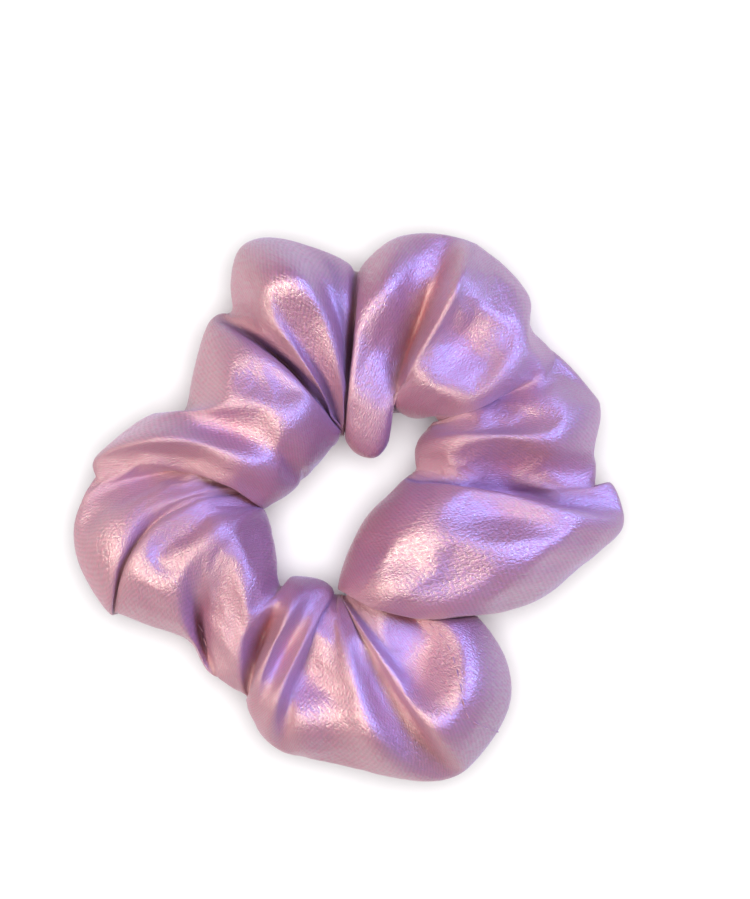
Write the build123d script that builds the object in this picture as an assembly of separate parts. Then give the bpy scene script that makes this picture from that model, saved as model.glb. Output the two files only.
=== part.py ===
"""A satin scrunchie: a gathered cloth tube closed into a ring over a stitched loop of braided elastic.

Row frame: millimetres, +Z up, origin on the table under the centre of the ring. The ring lies flat.
The cover is one piece of cloth. It is parted at the plane x = 0 into a left and a right half, so that
the loop's stretch can be a slide of one half along X.
"""

import math
import os

from build123d import *

# Ring and cover
OPENING_R = 13.5  # relaxed radius of the opening that hair or a wrist goes through
OPENING_OVERCUT = 0.3  # how far the outline runs into the opening before the opening is cut round
MID_Z = 13.5  # height of the elastic and of the cover's widest point
BELLY_R = 30.0  # radius of the line where the cover is highest
WALL = 0.7  # thickness of the gathered satin, its small folds averaged
SPLIT_GAP = 0.3  # clearance between the two halves at rest
BELOW_TABLE = 0.8  # how far the outline dips under z = 0 before its resting face is cut flat
FULLNESS = 0.74  # how full the cross-section's corners are, 0.71 for an ellipse
THROAT = 4.5  # how far out of the opening's wall the cross-section's inner corners stand
HALF_LAND = 3.5  # half the height of the upright wall beside the opening
LIP = 0.7  # how far the cross-section has turned outward LIP_RISE above that wall
LIP_RISE = 2.0
USUAL_OUTER = 55.0  # a usual gather's outer radius and top height
USUAL_TOP = 25.0
SECTION_STEP = 6.0  # degrees between the lofted cross-sections
HALF_TURN = 180.0
FULL_TURN = 360.0
BLOCK = 160.0  # side of a block that reaches past the ring when it cuts it

# Ridges and valleys of the gathers round the ring: angle in degrees, outer radius, top height
GATHERS = [
    (0, 57.4, 25.0),
    (16, 53.0, 20.0),
    (38, 56.0, 26.5),
    (50, 54.5, 23.0),
    (73, 60.0, 28.5),
    (90, 51.0, 19.5),
    (108, 59.0, 27.0),
    (124, 46.5, 20.5),
    (146, 45.0, 26.5),
    (160, 47.5, 22.0),
    (184, 57.7, 27.0),
    (203, 56.0, 21.0),
    (222, 46.5, 26.0),
    (240, 46.0, 20.0),
    (254, 52.5, 26.5),
    (270, 54.0, 21.5),
    (286, 59.6, 27.5),
    (304, 55.0, 23.0),
    (322, 40.0, 20.0),
    (342, 50.5, 28.0),
]

# Seam allowance and stitches
ALLOWANCE = 6.0  # how far the sewn raw edges stand into the tube
ALLOWANCE_T = 0.6  # two plies of satin
STITCH_PITCH = 3.2
STITCH_LENGTH = 2.0
THREAD = 0.25
STITCH_IN_FROM_WALL = 4.5
CLOSING_ANGLE = -56.0  # the valley where the tube's ends are tucked into each other
CLOSING_STITCHES = 26
TUCK_HALF_ANGLE = 7.0  # half the arc covered by the tucked end
TUCK_CLEARANCE = 0.3

# Elastic: flat braid around square-cut rubber cores
ELASTIC_R = 26.0
ELASTIC_W = 6.0
ELASTIC_T = 1.1
CORE_COUNT = 6
CORE_SIDE = 0.5
LAP_START = 150.0  # degrees where the outer end of the elastic begins to lie over the inner one
LAP_ARC = 24.0
LAP_RAMP = 12.0  # arc in which the strip steps out by its own thickness
LAP_GAP = 0.1
BARTACK_COLUMNS = 3
BARTACK_ROWS = 4
BARTACK_STITCH = 0.7  # stitch length as a share of the rows' spacing


def outline_points(outer, top, inset):
    """Radius and height of the points of the cover's cross-section, drawn in by inset.

    They run from the upper end of the wall beside the opening, over the top and down to its lower end.
    """
    low = -BELOW_TABLE if inset == 0 else inset
    inner = OPENING_R - OPENING_OVERCUT if inset == 0 else OPENING_R + inset
    far = outer - inset
    rise, drop = top - inset - MID_Z, MID_Z - low
    out = BELLY_R + FULLNESS * (far - BELLY_R)
    return [
        (inner, MID_Z + HALF_LAND),
        (inner + LIP, MID_Z + HALF_LAND + LIP_RISE),
        (inner + THROAT, MID_Z + FULLNESS * rise),
        (BELLY_R, MID_Z + rise),
        (out, MID_Z + FULLNESS * rise),
        (far, MID_Z),
        (out, MID_Z - FULLNESS * drop),
        (BELLY_R, MID_Z - drop),
        (inner + THROAT, MID_Z - FULLNESS * drop),
        (inner + LIP, MID_Z - HALF_LAND - LIP_RISE),
        (inner, MID_Z - HALF_LAND),
    ]


def outline_edge(angle, inset):
    """The cross-section in the half-plane at that angle; every one is parametrised alike, for the loft."""
    c, s = math.cos(math.radians(angle)), math.sin(math.radians(angle))
    points = [(r * c, r * s, z) for r, z in outline_points(*gather_at(angle), inset)]
    usual = outline_points(USUAL_OUTER, USUAL_TOP, 0)
    lengths = [math.dist(p, q) for p, q in zip(usual, usual[1:])]
    shares = [sum(lengths[:k]) / sum(lengths) for k in range(len(usual))]
    return Edge.make_spline(points, parameters=shares)


def section_wire(angle, inset):
    over = outline_edge(angle, inset)
    return Wire([over, Edge.make_line(over @ 1, over @ 0)])


def gather_at(angle):
    """Outer radius and top height at an angle, eased between the two nearest gathers."""
    rounds = [(a + turn, r, t) for turn in (-360, 0, 360) for a, r, t in GATHERS]
    before = max((g for g in rounds if g[0] <= angle), key=lambda g: g[0])
    after = min((g for g in rounds if g[0] > angle), key=lambda g: g[0])
    share = (1 - math.cos(math.pi * (angle - before[0]) / (after[0] - before[0]))) / 2
    return tuple(b + share * (a - b) for b, a in zip(before[1:], after[1:]))


def stops(first, last):
    count = round((last - first) / SECTION_STEP)
    return [first + (last - first) * k / count for k in range(count + 1)]


def tube(first, last, inset):
    """The solid inside the ring's outline between two angles."""
    return Solid.make_loft([section_wire(angle, inset) for angle in stops(first, last)])


def flat_edge(first, last, inset):
    """The outline at mid height between two angles, drawn in by inset."""
    radii = [(angle, gather_at(angle)[0] - inset) for angle in stops(first, last)]
    return Edge.make_spline(
        [(r * math.cos(math.radians(a)), r * math.sin(math.radians(a)), MID_Z) for a, r in radii]
    )


def seam_allowance(first, last):
    """The sewn raw edges of the cloth, standing into the tube from its outer side."""
    rooted, raw = flat_edge(first, last, WALL / 2), flat_edge(first, last, WALL + ALLOWANCE)
    ends = [Edge.make_line(rooted @ 1, raw @ 1), Edge.make_line(raw @ 0, rooted @ 0)]
    face = Face(Wire([rooted, ends[0], raw, ends[1]]))
    return Pos(0, 0, -ALLOWANCE_T / 2) * Solid.extrude(face, Vector(0, 0, ALLOWANCE_T))


def half_cover(first, shift):
    """One half of the satin tube: a thin shell, open where it meets the other half."""
    last = first + HALF_TURN
    shell = tube(first, last, 0) - tube(first, last, WALL)
    shell += seam_allowance(first, last)
    below = Pos(0, 0, -BLOCK / 2) * Box(BLOCK, BLOCK, BLOCK)
    opening = Pos(0, 0, MID_Z) * Cylinder(OPENING_R, BLOCK)
    return Pos(shift, 0, 0) * (shell - below) - opening


def tucked_end(first, shift):
    """The tube's inner end, tucked under the outer one at the closing seam."""
    last = first + HALF_TURN
    sleeve = tube(first, last, WALL + TUCK_CLEARANCE) - tube(first, last, 2 * WALL + TUCK_CLEARANCE)
    for side in (1, -1):
        edge = CLOSING_ANGLE + side * TUCK_HALF_ANGLE
        sleeve -= Rot(0, 0, edge) * Pos(0, side * BLOCK / 2, 0) * Box(BLOCK, BLOCK, BLOCK)
    slit = Pos(0, 0, MID_Z) * Cylinder(BLOCK, ALLOWANCE_T + 2 * TUCK_CLEARANCE)
    slit -= Pos(0, 0, MID_Z) * Cylinder(BELLY_R, BLOCK)
    return Pos(shift, 0, 0) * (sleeve - slit)


def seam_thread(first, x_sign):
    """The row of stitches along one half's seam allowance."""
    line = flat_edge(first, first + HALF_TURN, WALL + STITCH_IN_FROM_WALL)
    count = int(line.length / STITCH_PITCH)
    stitch = Box(STITCH_LENGTH, THREAD, ALLOWANCE_T + 2 * THREAD)
    stitches = []
    for k in range(count):
        spot = line.position_at((k + 0.5) / count)
        along = line.tangent_at((k + 0.5) / count)
        turn = math.degrees(math.atan2(along.Y, along.X))
        if x_sign * spot.X > STITCH_LENGTH:
            stitches.append(Pos(spot.X, spot.Y, MID_Z) * Rot(0, 0, turn) * stitch)
    return Compound(children=stitches)


def closing_thread():
    """Running stitches round the tube where its two ends are joined."""
    loop = outline_edge(CLOSING_ANGLE, WALL / 2)
    sideways = Vector(-math.sin(math.radians(CLOSING_ANGLE)), math.cos(math.radians(CLOSING_ANGLE)), 0)
    stitches = []
    for k in range(CLOSING_STITCHES):
        spot = loop.position_at((k + 0.5) / CLOSING_STITCHES)
        along = loop.tangent_at((k + 0.5) / CLOSING_STITCHES)
        if spot.Z > 2 * WALL:
            facing = Plane(origin=spot, x_dir=along, z_dir=along.cross(sideways))
            stitches.append(facing * Box(STITCH_LENGTH, THREAD, WALL + 2 * THREAD))
    return Compound(children=stitches)


def strip(width, height, z):
    """A strip of rectangular section round the opening: its last stretch steps out over its first."""
    step = ELASTIC_T + LAP_GAP
    lap_begin = LAP_START - LAP_ARC / 2
    ramp_begin = lap_begin - LAP_RAMP
    sides = []
    for half in (width / 2, -width / 2):
        plain = CenterArc((0, 0), ELASTIC_R + half, lap_begin, ramp_begin + FULL_TURN - lap_begin)
        over = CenterArc((0, 0), ELASTIC_R + step + half, lap_begin, LAP_ARC)
        ramp = Spline(plain @ 1, over @ 0, tangents=(plain % 1, over % 0))
        sides.append((plain, ramp, over))
    outer, inner = sides
    ends = [Line(outer[0] @ 0, inner[0] @ 0), Line(outer[2] @ 1, inner[2] @ 1)]
    outline = make_face([*outer, *inner, *ends])
    return Pos(0, 0, z - height / 2) * extrude(outline, height)


def elastic_cores():
    spacing = ELASTIC_W / CORE_COUNT
    heights = [MID_Z - ELASTIC_W / 2 + (k + 0.5) * spacing for k in range(CORE_COUNT)]
    return [strip(CORE_SIDE, CORE_SIDE, z) for z in heights]


def elastic_braid(cores):
    body = strip(ELASTIC_T, ELASTIC_W, MID_Z)
    for core in cores:
        body -= core
    return body


def bartack():
    """Stitches through both layers of the elastic, in short rows across its width."""
    depth = 2 * ELASTIC_T + LAP_GAP + 2 * THREAD
    middle_r = ELASTIC_R + (ELASTIC_T + LAP_GAP) / 2
    row_pitch = ELASTIC_W / (BARTACK_ROWS + 1)
    stitches = []
    for column in range(BARTACK_COLUMNS):
        angle = LAP_START + (column - (BARTACK_COLUMNS - 1) / 2) * LAP_ARC / (BARTACK_COLUMNS + 1)
        for row in range(BARTACK_ROWS):
            z = MID_Z + (row - (BARTACK_ROWS - 1) / 2) * row_pitch
            stitch = Box(depth, THREAD, row_pitch * BARTACK_STITCH)
            stitches.append(Rot(0, 0, angle) * Pos(middle_r, 0, z) * stitch)
    return Compound(children=stitches)


def main():
    os.makedirs("parts", exist_ok=True)
    right, left = -90, 90
    cover_right = half_cover(right, SPLIT_GAP / 2)
    tucked = tucked_end(right, SPLIT_GAP / 2)
    cores = elastic_cores()
    parts = {
        "cover_left": half_cover(left, -SPLIT_GAP / 2),
        "cover_right": Compound(children=[*cover_right.solids(), *tucked.solids()]),
        "seam_thread_left": seam_thread(left, -1),
        "seam_thread_right": seam_thread(right, 1),
        "closing_seam_thread": closing_thread(),
        "elastic_braid": elastic_braid(cores),
        "elastic_rubber_cores": Compound(children=cores),
        "elastic_join_thread": bartack(),
    }
    for name, shape in parts.items():
        export_step(shape, f"parts/{name}.step")


main()
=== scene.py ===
"""Looks of the satin scrunchie: one gathered satin tube over a hidden loop of braided elastic.

Metres, in the CAD's frame: +Z up through the opening, the ring lying flat on z = 0. Shapes are
worked out in millimetres and turned into metres where a mesh is made.
"""

import math

import bpy
import numpy as np
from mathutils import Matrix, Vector


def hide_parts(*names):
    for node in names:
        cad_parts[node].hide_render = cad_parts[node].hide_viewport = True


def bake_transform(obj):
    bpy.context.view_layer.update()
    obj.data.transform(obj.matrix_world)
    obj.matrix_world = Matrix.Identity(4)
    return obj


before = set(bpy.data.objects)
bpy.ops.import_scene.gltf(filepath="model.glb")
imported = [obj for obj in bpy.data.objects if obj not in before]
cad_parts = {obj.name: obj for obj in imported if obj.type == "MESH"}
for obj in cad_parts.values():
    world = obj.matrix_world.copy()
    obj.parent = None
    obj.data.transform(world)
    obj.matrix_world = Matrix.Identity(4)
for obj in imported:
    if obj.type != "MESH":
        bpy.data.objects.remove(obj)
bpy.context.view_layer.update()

MM = 0.001
UP = np.array((0.0, 0.0, 1.0))

# Elastic
MID_Z = 13.5  # height of its middle in the CAD
BRAID_W, BRAID_T = 6.0, 1.1  # width and thickness
BRAID_RIBS, RIB_DEPTH = 6, 0.12
LAP_AT, LAP_SHARE = 0.35, 0.06  # where its ends overlap and how far, as shares of the loop
LAP_GAP = 0.35  # between the two overlapped ends

# Cover
CLOTH_T = 0.18 * MM
CUT = (0.096, 0.38)  # declared flat width and length, metres, fitted to the drawn cloth's area
AROUND_STEP = 5  # columns of the mesh between two fold lines
ACROSS_STEP = 8  # rows of the mesh between two points of a fold line
OUTER_ROW = 4 * ACROSS_STEP  # the mesh row along the tube's outer edge
CORE_ROW = int(1.3 * ACROSS_STEP)  # the mesh row above the elastic
RIM_Z = 12  # height of a fold line's two ends
UNDER_Z, FULL_TOP = 0.6, 26.0  # height of the underside below a top this high
UNDER_RISE = 0.2  # how far the underside rises for each millimetre that the top is lower
THINNEST = 2.0  # least height of the tube between its top and its underside
TABLE_GAP = 0.3  # between the table and the lowest drawn cloth
OVER_ELASTIC = MID_Z + BRAID_W / 2 + 1.5  # a fold's inner shoulder is no lower, to clear the elastic
CREASE_SHADE_BLUR = 14  # passes of smoothing that show up the creases for the painted crease shade
FLAT_CREASE_SHADE, CREASE_SHADE_DEPTH = 0.35, 4.0  # the painted crease shade value of flat cloth, and the crease depth that adds 1 to it

# Cloth simulation
SETTLE_SCALE = 10  # the cloth solver works best on a larger copy
SETTLE_FRAMES = 14
SLACK = 0.05  # how much longer the cloth is than the drawn folds
GRIP, TABLE_GRIP = 0.12, 0.35  # how firmly cloth keeps its drawn place, in the air and by the table
TABLE_REACH = 1.2  # cloth lower than this is by the table

# Stitches
STITCH_L, STITCH_T, STITCH_PITCH = 2.0, 0.25, 3.2  # length, thickness and spacing
SEAM_INSET = 4.5  # how far inside the tube's outer edge the lengthwise stitches run
CLOSING_FOLD, CLOSING_DRIFT = "lobe 6 upper", 3  # where the closing seam starts, and folds it crosses
JOIN_COLUMNS = (-2, 0, 2)  # points of the elastic's path that have a column of join stitches
JOIN_LEVELS = (-2.0, -0.7, 0.7, 2.0)

# Each fold line runs from the opening's edge to the outer edge, clockwise round the ring, in
# millimetres: its name, inner end, outer end, sideways bow, and the heights of its inner
# shoulder, crown and outer shoulder. Lobes are numbered clockwise from the one left of the top.
FOLDS = [
    ("crease 1-2", (0, 17), (2, 49), 0, (15, 15, 16)),
    ("lobe 2 left wall", (0, 15), (4, 51), 0, (19, 21, 20)),
    ("lobe 2 hood", (2, 12), (10, 56), -1, (19, 20, 23)),
    ("lobe 2 scoop", (6, 11), (17, 57), 0, (16, 15, 18)),
    ("lobe 2 scoop floor", (9, 15), (23, 56), 2, (10, 12, 16)),
    ("lobe 2 rolled edge", (8, 20), (26, 55), -1, (22, 26, 28)),
    ("lobe 2 panel, left", (11, 20), (29, 53), -1, (24, 24, 26)),
    ("lobe 2 panel, middle", (14, 19), (33, 50), -1, (24, 22, 23)),
    ("lobe 2 panel, right", (17, 19), (38, 44), -1, (24, 23, 22)),
    ("lobe 2 lower right", (19, 19), (39, 38), -3, (22, 24, 22)),
    ("lobe 2 bottom edge", (20, 18), (43, 33), -2, (18, 20, 19)),
    ("crease 2-3", (19, 18), (47, 29), 0, (15, 16, 17)),
    ("lobe 3 rise", (18, 17), (51, 24), 1, (19, 20, 20)),
    ("lobe 3 plateau", (17, 16), (53, 21), -1, (22, 22, 22)),
    ("lobe 3 ridge", (15, 13), (52, 12), 2, (23, 25, 24)),
    ("lobe 3 slope", (15, 10), (52, 8), 0, (20, 17, 17)),
    ("crease 3-4", (15, 8), (52, 4), -1, (14, 14, 15)),
    ("small fold 4", (14, 7), (55, 5), -3, (11, 12, 15)),
    ("crease 4-5", (13, 6), (57, 0), -1, (14, 15, 16)),
    ("lobe 5 upper edge", (12, 5), (57, -5), 2, (21, 23, 22)),
    ("lobe 5 upper panel", (9, 2), (53, -9), 2, (25, 23, 24)),
    ("lobe 5 middle", (5, -2), (48, -13), 1, (26, 28, 26)),
    ("lobe 5 lower middle", (2, -7), (42, -18), -1, (25, 27, 25)),
    ("lobe 5 lower", (0, -12), (35, -21), -3, (24, 25, 22)),
    ("lobe 5 lower edge", (-1, -16), (28, -22), -3, (20, 21, 19)),
    ("crease 5-6", (-1, -17), (27, -23), -3, (15, 15, 15)),
    ("lobe 6 upper", (0, -18), (28, -24), -2, (13, 15, 18)),
    ("lobe 6 right", (0, -18), (33, -32), -2, (14, 17, 21)),
    ("lobe 6 middle", (0, -18), (34, -40), -4, (16, 18, 24)),
    ("lobe 6 lower", (0, -19), (31, -47), -3, (18, 19, 24)),
    ("lobe 6 rolled edge", (-1, -19), (25, -54), -1, (20, 22, 24)),
    ("crease 6-7", (-1, -19), (22, -56), -1, (18, 18, 17)),
    ("lobe 7 right", (-1, -19), (17, -57), -1, (19, 18, 18)),
    ("lobe 7 middle", (-2, -19), (9, -56), -1, (20, 23, 23)),
    ("lobe 7 left", (-2, -19), (0, -54), -2, (19, 19, 19)),
    ("lobe 7 rim", (-3, -19), (-9, -52), -3, (16, 16, 19)),
    ("crease 7-8", (-3, -19), (-13, -51), -2, (16, 17, 17)),
    ("lobe 8 rim", (-3, -18), (-17, -48), -1, (19, 21, 21)),
    ("lobe 8 scoop", (-5, -16), (-19, -45), -1, (17, 17, 19)),
    ("lobe 8 ridge", (-9, -15), (-21, -41), 0, (22, 22, 20)),
    ("lobe 8 pocket", (-12, -15), (-21, -40), -1, (13, 11, 13)),
    ("lobe 9 lower edge", (-14, -17), (-22, -39), -3, (19, 19, 17)),
    ("lobe 9 right panel", (-15, -11), (-24, -38), -5, (22, 20, 17)),
    ("lobe 9 hollow", (-16, -6), (-27, -36), -6, (23, 20, 15)),
    ("lobe 9 gap", (-17, -3), (-29, -35), -7, (24, 21, 10)),
    ("lobe 9 ridge", (-18, -1), (-34, -28), -7, (25, 25, 22)),
    ("lobe 9 left panel", (-19, 0), (-41, -25), -8, (22, 23, 23)),
    ("lobe 9 seam side", (-20, 2), (-48, -22), -8, (21, 23, 22)),
    ("seam groove", (-20, 3), (-49, -22), -8, (19, 19, 18)),
    ("lobe 10 seam side", (-20, 4), (-50, -22), -9, (20, 21, 21)),
    ("lobe 10 middle", (-21, 5), (-56, -12), -6, (18, 20, 20)),
    ("lobe 10 upper", (-21, 6), (-57, -4), -4, (15, 16, 16)),
    ("crease 10-11", (-20, 7), (-55, 2), -3, (14, 14, 14)),
    ("lobe 11 lower edge", (-18, 0), (-53, 7), -4, (19, 18, 17)),
    ("lobe 11 lower slope", (-16, 1), (-53, 10), -5, (23, 21, 19)),
    ("lobe 11 ridge", (-13, 3), (-50, 13), -5, (26, 26, 24)),
    ("lobe 11 dip", (-10, 6), (-41, 19), -4, (24, 23, 22)),
    ("lobe 12 ridge", (-7, 9), (-34, 20), -7, (26, 27, 25)),
    ("lobe 12 middle", (-4, 13), (-32, 28), -6, (25, 25, 24)),
    ("lobe 12 upper edge", (-2, 15), (-29, 38), -3, (22, 24, 22)),
    ("crease 12-1", (-1, 16), (-27, 40), -2, (16, 16, 16)),
    ("lobe 1 patch", (-1, 16), (-24, 41), -2, (17, 20, 20)),
    ("lobe 1 left panel", (-1, 16), (-24, 47), -2, (21, 24, 23)),
    ("lobe 1 dart", (-1, 16), (-22, 54), -1, (14, 23, 26)),
    ("lobe 1 ridge", (-1, 16), (-17, 56), -5, (22, 26, 28)),
    ("lobe 1 right panel", (-1, 16), (-7, 54), -3, (17, 19, 19)),
    ("lobe 1 right edge", (0, 17), (0, 51), 0, (16, 18, 19)),
]
STATIONS = (0, 0.22, 0.5, 0.77, 1)  # where a fold line's five points lie along it


# ---------------------------------------------------------------- shape


def soften(rows, share):
    """Each row of points drawn a share of the way to the middle of its neighbours round the ring."""
    return rows + share * ((np.roll(rows, 1, 0) + np.roll(rows, -1, 0)) / 2 - rows)


def soften_across(grid, share):
    """The same round the tube's section instead of round the ring."""
    return soften(grid.transpose(1, 0, 2), share).transpose(1, 0, 2)


def unit(rows):
    return rows / np.linalg.norm(rows, axis=1, keepdims=True)


def fold_line(inner, outer, bow, heights):
    """Five points along a fold: a straight run from its inner end to its outer one, bowed sideways."""
    inner, run = np.array(inner, float), np.subtract(outer, inner)
    side = np.array((-run[1], run[0])) / np.linalg.norm(run)
    shoulder = max(heights[0], OVER_ELASTIC)
    points = []
    for t, z in zip(STATIONS, (RIM_Z, shoulder, *heights[1:], RIM_Z)):
        points.append((*(inner + run * t + side * (4 * bow * t * (1 - t))), z))
    return points


def closed_sections(top):
    """Fold lines closed under the tube: the underside is flatter and calmer than the top."""
    under = top[:, 3:0:-1].copy()
    for _ in range(3):
        under[:, :, :2] = soften(under[:, :, :2], 0.6)
    heights = UNDER_Z + UNDER_RISE * (FULL_TOP - under[:, :, 2])
    under[:, :, 2] = np.clip(heights, UNDER_Z, under[:, :, 2] - THINNEST)
    return np.concatenate([top, under], axis=1)


def ring_spline(points, step):
    """Points on a closed centripetal spline through points, step of them to each span, along axis 0."""
    before, start, end, after = (np.roll(points, k, 0) for k in (1, 0, -1, -2))

    def gap(a, b):
        return np.maximum(np.linalg.norm(b - a, axis=-1, keepdims=True), 0.05) ** 0.5

    g0, g1, g2 = gap(before, start), gap(start, end), gap(end, after)
    into = (start - before) / g0 - (end - before) / (g0 + g1) + (end - start) / g1
    out = (end - start) / g1 - (after - start) / (g1 + g2) + (after - end) / g2
    into, out = into * g1, out * g1
    rows = []
    for k in range(step):
        t = k / step
        rows.append(
            start * (2 * t**3 - 3 * t**2 + 1) + into * (t**3 - 2 * t**2 + t)
            + end * (3 * t**2 - 2 * t**3) + out * (t**3 - t**2)
        )
    return np.stack(rows, axis=1).reshape(-1, *points.shape[1:])


def cover_grid():
    """The drawn cover: columns of points round the ring, each a closed section of the tube."""
    sections = closed_sections(np.array([fold_line(*fold) for _, *fold in FOLDS]))
    across = ring_spline(sections.transpose(1, 0, 2), ACROSS_STEP).transpose(1, 0, 2)
    grid = soften(ring_spline(across, AROUND_STEP), 0.5)
    for _ in range(2):
        grid = soften_across(grid, 0.5)
    grid[:, :, 2] = np.maximum(grid[:, :, 2], TABLE_GAP)
    return grid


def mesh_piece(name, verts, faces):
    """A smooth-shaded piece from points in millimetres."""
    mesh = bpy.data.meshes.new(name)
    mesh.from_pydata([tuple(v) for v in np.asarray(verts) * MM], [], faces)
    mesh.validate()
    mesh.polygons.foreach_set("use_smooth", [True] * len(mesh.polygons))
    mesh.update()
    piece = bpy.data.objects.new(name, mesh)
    bpy.context.scene.collection.objects.link(piece)
    return piece


def grid_mesh(name, grid):
    """A mesh closed both ways from a grid of points, with a uv map in cloth millimetres."""
    nu, nv = grid.shape[:2]
    wide, long = CUT[0] / MM, CUT[1] / MM
    faces, corners = [], []
    for i in range(nu):
        for j in range(nv):
            a, b = i * nv + j, i * nv + (j + 1) % nv
            c, d = ((i + 1) % nu) * nv + (j + 1) % nv, ((i + 1) % nu) * nv + j
            faces.append((a, d, c, b))
            for di, dj in ((0, 0), (1, 0), (1, 1), (0, 1)):
                corners.append(((i + di) / nu * long, (j + dj) / nv * wide))
    piece = mesh_piece(name, grid.reshape(-1, 3), faces)
    uv = piece.data.uv_layers.new(name="cloth")
    for k, corner in enumerate(corners):
        uv.data[k].uv = corner
    return piece


def settle(piece):
    """The drawn folds relaxed by a cloth simulation: slack cloth, air inside, held softly where drawn."""
    scene = bpy.context.scene
    mesh = piece.data
    points = np.zeros(len(mesh.vertices) * 3, np.float32)
    mesh.vertices.foreach_get("co", points)
    held = piece.vertex_groups.new(name="held")
    for k, height in enumerate(points[2::3] / MM):
        held.add([k], TABLE_GRIP if height < TABLE_REACH else GRIP, "REPLACE")
    mesh.vertices.foreach_set("co", points * SETTLE_SCALE)
    cloth = piece.modifiers.new("settle", "CLOTH")
    made = cloth.settings
    made.quality = 5
    made.mass = 0.1
    made.tension_stiffness = made.compression_stiffness = 12
    made.shear_stiffness = 3
    made.bending_stiffness = 0.08
    made.air_damping = 1
    made.shrink_min = -SLACK
    made.use_pressure = True
    made.uniform_pressure_force = 0.03
    made.vertex_group_mass = "held"
    made.pin_stiffness = 1.0
    made.effector_weights.gravity = 0
    cloth.collision_settings.use_collision = False
    cloth.point_cache.frame_end = SETTLE_FRAMES
    for step in range(1, SETTLE_FRAMES + 1):
        scene.frame_set(step)
    shown = piece.evaluated_get(bpy.context.evaluated_depsgraph_get()).to_mesh()
    shown.vertices.foreach_get("co", points)
    piece.modifiers.remove(cloth)
    piece.vertex_groups.remove(held)
    mesh.vertices.foreach_set("co", points / SETTLE_SCALE)
    mesh.update()
    scene.frame_set(1)


def grid_of(piece, columns):
    """The piece's points in millimetres, in columns as they were drawn."""
    points = np.zeros(len(piece.data.vertices) * 3, np.float32)
    piece.data.vertices.foreach_get("co", points)
    return points.reshape(columns, -1, 3).astype(float) / MM


def normals_of(piece, columns):
    """The way out of the cloth at each of those points."""
    normals = np.zeros(len(piece.data.vertices) * 3, np.float32)
    piece.data.vertex_normals.foreach_get("vector", normals)
    return normals.reshape(columns, -1, 3).astype(float)


def paint_crease_shade(piece, grid, normals):
    """A value at each point, 1 deep in a crease, 0 on a ridge, for the painted crease shade in the cloth's
    colour.
    """
    blurred = grid
    for _ in range(CREASE_SHADE_BLUR):
        blurred = soften_across(soften(blurred, 0.7), 0.7)
    depth = ((blurred - grid) * normals).sum(2).ravel()
    fold = np.clip(FLAT_CREASE_SHADE + depth / CREASE_SHADE_DEPTH, 0, 1).astype(np.float32)
    # the "fold" attribute carries this painted crease shade
    layer = piece.data.attributes.new("fold", "FLOAT", "POINT")
    layer.data.foreach_set("value", fold)


def core_path(grid):
    """The anticlockwise line in the tube that the elastic lies along, and the way out at each point."""
    path = (grid[:, CORE_ROW] + grid[:, -CORE_ROW]) / 2
    for _ in range(60):
        path = soften(path, 0.8)
    path = path[::-1]
    return path, unit(np.cross(np.roll(path, -1, 0) - np.roll(path, 1, 0), UP))


def elastic_loop(path, out):
    """Flat braided elastic: a ribbed strip whose last stretch steps out and lies over its first."""
    count = len(path)
    lap, start = int(count * LAP_SHARE), int(count * LAP_AT)
    profile = []
    for k in range(4 * BRAID_RIBS + 1):
        level = (k / (4 * BRAID_RIBS) - 0.5) * BRAID_W
        profile.append((BRAID_T / 2 + RIB_DEPTH * math.cos(math.pi * k / 2), level))
    profile += [(-across, -level) for across, level in profile]
    verts, faces = [], []
    for i in range(count + lap):
        here = (start + i) % count
        share = min(max((i - count + lap) / lap, 0), 1)
        step = (BRAID_T + LAP_GAP) * (3 * share**2 - 2 * share**3)
        for across, level in profile:
            verts.append(path[here] + out[here] * (across + step) + UP * level)
    width = len(profile)
    for i in range(count + lap - 1):
        for j in range(width):
            a, b = i * width + j, i * width + (j + 1) % width
            faces.append((a, b, b + width, a + width))
    faces.append(tuple(range(width))[::-1])
    faces.append(tuple(range((count + lap - 1) * width, (count + lap) * width)))
    return mesh_piece("elastic_band", verts, faces)


def stitches(name, spots):
    """Short arched stitches of round thread; each spot is a middle, a direction along and a way up."""
    sides, spans = 6, 6
    verts, faces = [], []
    for middle, along, up in spots:
        across = np.cross(along, up)
        first = len(verts)
        for i in range(spans + 1):
            t = i / spans * 2 - 1
            centre = middle + along * (t * STITCH_L / 2) + up * (STITCH_T * (0.45 - 1.3 * t**4))
            thick = STITCH_T / 2 * (1 - 0.35 * t**4)
            for k in range(sides):
                a = 2 * math.pi * k / sides
                verts.append(centre + thick * (math.cos(a) * across + math.sin(a) * up))
        for i in range(spans):
            for k in range(sides):
                a, b = first + i * sides + k, first + i * sides + (k + 1) % sides
                faces.append((a, b, b + sides, a + sides))
        last = first + spans * sides
        faces.append(tuple(range(first, first + sides))[::-1])
        faces.append(tuple(range(last, last + sides)))
    return mesh_piece(name, verts, faces)


def row_spots(line, up):
    """Stitch places evenly along a line of points, up being a direction at each point."""
    lengths = np.linalg.norm(np.diff(line, axis=0), axis=1)
    run = np.concatenate([[0], np.cumsum(lengths)])

    def read(rows, at):
        return np.array([np.interp(at, run, rows[:, c]) for c in range(3)])

    spots = []
    for k in range(int(run[-1] / STITCH_PITCH)):
        at = (k + 0.5) * STITCH_PITCH
        middle, ahead, way = read(line, at), read(line, at + 0.5), read(up, at)
        along = (ahead - middle) / max(np.linalg.norm(ahead - middle), 1e-6)
        way -= along * way.dot(along)
        spots.append((middle, along, way / np.linalg.norm(way)))
    return spots


def seam_spots(grid):
    """Stitches of the lengthwise seam, inside the tube all round the ring near its outer edge."""
    outer = grid[:, OUTER_ROW]
    line = outer + SEAM_INSET * unit(grid.mean(axis=1) - outer)
    line = np.concatenate([line, line[:1]])
    return row_spots(line, np.repeat([UP], len(line), axis=0))


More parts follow.
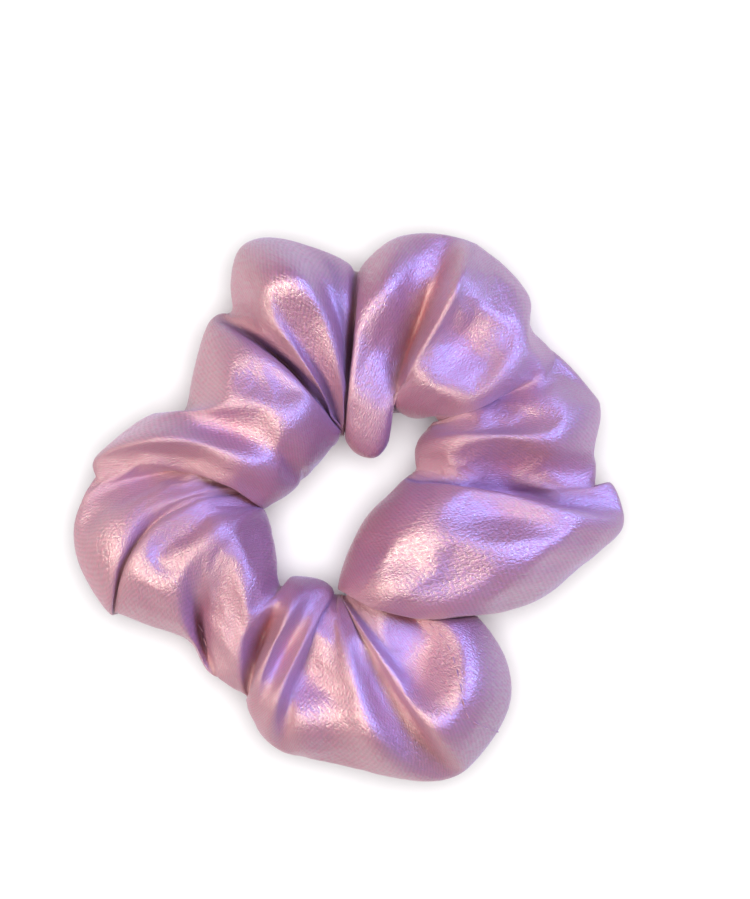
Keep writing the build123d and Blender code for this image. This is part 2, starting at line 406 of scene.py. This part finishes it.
def closing_spots(grid, normals):
    """Stitches once round the tube, drifting along it by the outer edge and back underneath."""
    first = [fold[0] for fold in FOLDS].index(CLOSING_FOLD)
    row = np.arange(grid.shape[1])
    steps = row / ACROSS_STEP
    turn = np.clip(np.where(steps < 4, (steps - 2.1) / 1.2, (8 - steps) / 4), 0, 1)
    columns = (first + CLOSING_DRIFT * turn * turn * (3 - 2 * turn)) * AROUND_STEP
    low = columns.astype(int)
    part = (columns - low)[:, None]
    line = grid[low, row] * (1 - part) + grid[low + 1, row] * part
    return row_spots(line, normals[low, row])


def join_spots(path, out):
    """Upright stitches in columns on the outer face of the elastic's overlapped ends."""
    middle = int(len(path) * (LAP_AT + LAP_SHARE / 2))
    face = BRAID_T * 1.5 + LAP_GAP + 0.05  # just clear of the outer end's face
    spots = []
    for column in JOIN_COLUMNS:
        here = (middle + column) % len(path)
        for level in JOIN_LEVELS:
            spots.append((path[here] + out[here] * face + UP * level, UP, out[here]))
    return spots


# ---------------------------------------------------------------- materials


def material(name):
    """A new material, its node tree and its shader."""
    made = bpy.data.materials.new(name)
    made.use_nodes = True
    tree = made.node_tree
    return made, tree, tree.nodes["Principled BSDF"]


def put(node, **values):
    """Settings or input values of a node; an underscore in an input's name stands for a space."""
    for key, value in values.items():
        if hasattr(node, key):
            setattr(node, key, value)
        else:
            node.inputs[key.replace("_", " ")].default_value = value


def add(tree, kind, wires, **values):
    """A node with its values, and what is wired into its inputs."""
    node = tree.nodes.new(kind)
    put(node, **values)
    for socket, source in wires.items():
        tree.links.new(source, node.inputs[socket])
    return node


def turned(tree, place, angles, scale=(1, 1, 1)):
    """Texture coordinates turned by angles in degrees, and scaled."""
    rotation = [math.radians(angle) for angle in angles]
    node = add(tree, "ShaderNodeMapping", {"Vector": place}, Rotation=rotation, Scale=scale)
    return node.outputs["Vector"]


def waves(tree, place, scale, distortion, **values):
    node = add(tree, "ShaderNodeTexWave", {"Vector": place}, Scale=scale, Distortion=distortion, **values)
    return node.outputs["Fac"]


def noise(tree, place, scale, roughness=0.5):
    node = add(tree, "ShaderNodeTexNoise", {"Vector": place}, Scale=scale, Detail=3.0, Roughness=roughness)
    return node.outputs["Fac"]


def remap(tree, value, low, high, to_low, to_high):
    """A value spread from one range over another, and held at its ends."""
    ends = {"From_Min": low, "From_Max": high, "To_Min": to_low, "To_Max": to_high}
    return add(tree, "ShaderNodeMapRange", {"Value": value}, **ends).outputs["Result"]


def two_tone(tree, value, first, second, ends=(0, 1)):
    """A colour that goes from the first to the second as the value goes from end to end."""
    ramp = add(tree, "ShaderNodeValToRGB", {"Fac": value})
    for stop, end, colour in zip(ramp.color_ramp.elements, ends, (first, second)):
        stop.position = end
        stop.color = (*colour, 1)
    return ramp.outputs["Color"]


def two_bumps(tree, coarse, fine):
    """A normal from two reliefs, each a height, a strength and a depth in metres."""
    normal = None
    for height, strength, distance in (coarse, fine):
        wires = {"Height": height}
        if normal is not None:
            wires["Normal"] = normal
        bump = add(tree, "ShaderNodeBump", wires, Strength=strength, Distance=distance)
        normal = bump.outputs["Normal"]
    return normal


def satin_colour(tree, cloth, grain, twill):
    """Pink with a slow drift of tone, redder in the creases as painted shade, flecked by the weave."""
    tint = two_tone(
        tree, noise(tree, cloth, 0.06), (0.33, 0.118, 0.188), (0.40, 0.150, 0.230), ends=(0.3, 0.75)
    )
    # painted crease shade: the "fold" value mixes a deep red into the creases
    fold = add(tree, "ShaderNodeAttribute", {}, attribute_name="fold")
    depth = remap(tree, fold.outputs["Fac"], 0.48, 1.0, 0.0, 0.62)
    crease_shade_mix = add(tree, "ShaderNodeMix", {"Factor": depth}, data_type="RGBA")
    colour_a, crease_shade_colour, colour_out = crease_shade_mix.inputs[6], crease_shade_mix.inputs[7], crease_shade_mix.outputs[2]
    tree.links.new(tint, colour_a)
    # the deep red of the painted crease shade
    crease_shade_colour.default_value = (0.58, 0.14, 0.16, 1)
    speck = remap(tree, grain, 0.36, 0.64, 0.74, 1.24)
    ribs = remap(tree, twill, 0.0, 1.0, 0.88, 1.08)
    weave = add(tree, "ShaderNodeMath", {0: speck, 1: ribs}, operation="MULTIPLY")
    wires = {0: colour_out, "Scale": weave.outputs["Value"]}
    return add(tree, "ShaderNodeVectorMath", wires, operation="SCALE").outputs["Vector"]


def satin():
    """Pink satin: a soft metallic sheen broken up by twill ribs and an uneven grain."""
    made, tree, shader = material("satin_pink")
    cloth = add(tree, "ShaderNodeUVMap", {}, uv_map="cloth").outputs["UV"]
    twill = waves(tree, turned(tree, cloth, (0, 0, 28)), 0.55, 1.0, Detail=1.5, Detail_Scale=2.0)
    grain = noise(tree, turned(tree, cloth, (0, 0, 35), scale=(2.4, 1.1, 1)), 1.0, roughness=0.65)
    tangent = add(tree, "ShaderNodeTangent", {}, direction_type="UV_MAP", uv_map="cloth")
    sources = {
        "Base Color": satin_colour(tree, cloth, grain, twill),
        "Metallic": remap(tree, grain, 0.38, 0.62, 0.0, 0.35),
        "Roughness": remap(tree, grain, 0.35, 0.65, 0.30, 0.58),
        "Normal": two_bumps(tree, (twill, 0.10, 0.0001), (grain, 1.0, 0.00024)),
        "Tangent": tangent.outputs["Tangent"],
    }
    for socket, source in sources.items():
        tree.links.new(source, shader.inputs[socket])
    put(shader, Subsurface_Weight=0.2, Subsurface_Radius=(1.0, 0.35, 0.3), Subsurface_Scale=0.0015)
    put(shader, IOR=2.2, Specular_IOR_Level=1.0, Specular_Tint=(0.92, 0.97, 1.0, 1), Anisotropic=0.5)
    put(shader, Sheen_Weight=0.25, Sheen_Roughness=0.35, Sheen_Tint=(0.85, 0.75, 1.0, 1))
    return made


def yarn(name, colour, ribs, bump):
    """Wound or braided yarn: fine diagonal strands, darker in the grooves between them as painted shade.
    """
    made, tree, shader = material(name)
    place = add(tree, "ShaderNodeTexCoord", {}).outputs["Object"]
    strands = waves(tree, turned(tree, place, (35, 20, 40)), ribs, 2.0)
    fuzz = noise(tree, place, ribs * 4)
    # painted shade: colour darkened where the strands' relief is low, in the grooves
    shade = two_tone(tree, strands, [c * 0.62 for c in colour], colour)
    normal = two_bumps(tree, (strands, bump, 0.0002), (fuzz, bump * 0.5, 0.0001))
    tree.links.new(shade, shader.inputs["Base Color"])
    tree.links.new(normal, shader.inputs["Normal"])
    put(shader, Roughness=0.7, Sheen_Weight=0.3)
    return made


# ---------------------------------------------------------------- pieces


def satin_cover():
    """The cover, with the grid of its points and the way out of the cloth at each."""
    drawn = cover_grid()
    piece = grid_mesh("satin_cover", drawn)
    settle(piece)
    grid, normals = grid_of(piece, len(drawn)), normals_of(piece, len(drawn))
    paint_crease_shade(piece, grid, normals)
    piece.data.materials.append(satin())
    smooth = piece.modifiers.new("smooth", "SUBSURF")
    smooth.levels = smooth.render_levels = 1
    solid = piece.modifiers.new("thickness", "SOLIDIFY")
    solid.thickness = CLOTH_T
    solid.offset = -1
    return piece, grid, normals


cover, grid, normals = satin_cover()
path, path_out = core_path(grid)

elastic = elastic_loop(path, path_out)
elastic.data.materials.append(yarn("braid_white", (0.86, 0.85, 0.82), 900.0, 0.6))

thread_pink = yarn("thread_pink", (0.62, 0.34, 0.42), 2500.0, 0.5)
seam = stitches("seam_stitches", seam_spots(grid))
seam.data.materials.append(thread_pink)
closing = stitches("closing_stitches", closing_spots(grid, normals))
closing.data.materials.append(thread_pink)
join = stitches("elastic_join_stitches", join_spots(path, path_out))
join.data.materials.append(yarn("thread_white", (0.80, 0.80, 0.80), 2500.0, 0.5))

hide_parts("cover_left", "cover_right")
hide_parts("elastic_braid", "elastic_rubber_cores")
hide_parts("seam_thread_left", "seam_thread_right")
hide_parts("closing_seam_thread")
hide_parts("elastic_join_thread")
drawn_pieces = (cover, elastic, seam, closing, join)
for piece in drawn_pieces:
    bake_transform(piece)

# ---------------------------------------------------------------- stage


FLOOR_HALF, FLOOR_DROP = 2, 0.0005  # half the floor's side, and how far it lies below z = 0


def white_floor():
    corners = [(x * FLOOR_HALF, y * FLOOR_HALF, 0) for x, y in ((-1, -1), (1, -1), (1, 1), (-1, 1))]
    mesh = bpy.data.meshes.new("floor")
    mesh.from_pydata(corners, [], [(0, 1, 2, 3)])
    made = bpy.data.objects.new("floor", mesh)
    bpy.context.scene.collection.objects.link(made)
    made.location.z = -FLOOR_DROP
    look, _, shader = material("floor_white")
    put(shader, Base_Color=(0.9, 0.9, 0.9, 1), Roughness=0.8)
    mesh.materials.append(look)
    return made


def area_light(name, size, energy, colour, place, pieces):
    """A round lamp aimed at the origin, which lights only the pieces given."""
    data = bpy.data.lights.new(name, "AREA")
    data.shape = "DISK"
    data.size, data.energy, data.color = size, energy, colour
    lamp = bpy.data.objects.new(name, data)
    bpy.context.scene.collection.objects.link(lamp)
    lamp.location = place
    lamp.rotation_euler = (-Vector(place)).to_track_quat("-Z", "Y").to_euler()
    lit = bpy.data.collections.new(name + "_lit")
    for piece in pieces:
        lit.objects.link(piece)
    lamp.light_linking.receiver_collection = lit


def soft_world():
    world = bpy.data.worlds.new("soft")
    bpy.context.scene.world = world
    world.use_nodes = True
    put(world.node_tree.nodes["Background"], Color=(1.0, 0.97, 0.98, 1), Strength=0.28)


def camera_above():
    data = bpy.data.cameras.new("camera")
    data.sensor_fit = "VERTICAL"
    data.sensor_height = 24
    data.lens = 93.7
    camera = bpy.data.objects.new("camera", data)
    bpy.context.scene.collection.objects.link(camera)
    camera.location = (0.0059, 0.0121, 0.75)
    bpy.context.scene.camera = camera


floor = white_floor()
area_light("cool", 0.46, 11.5, (0.34, 0.38, 1.0), (0.50, 0.25, 0.62), drawn_pieces)
area_light("warm", 0.42, 9.0, (1.0, 0.80, 0.62), (-0.50, -0.18, 0.66), drawn_pieces)
area_light("overhead", 1.2, 24.0, (1.0, 1.0, 1.0), (0.05, 0.05, 1.4), (floor,))
soft_world()
bpy.context.scene.view_settings.view_transform = "Standard"
camera_above()
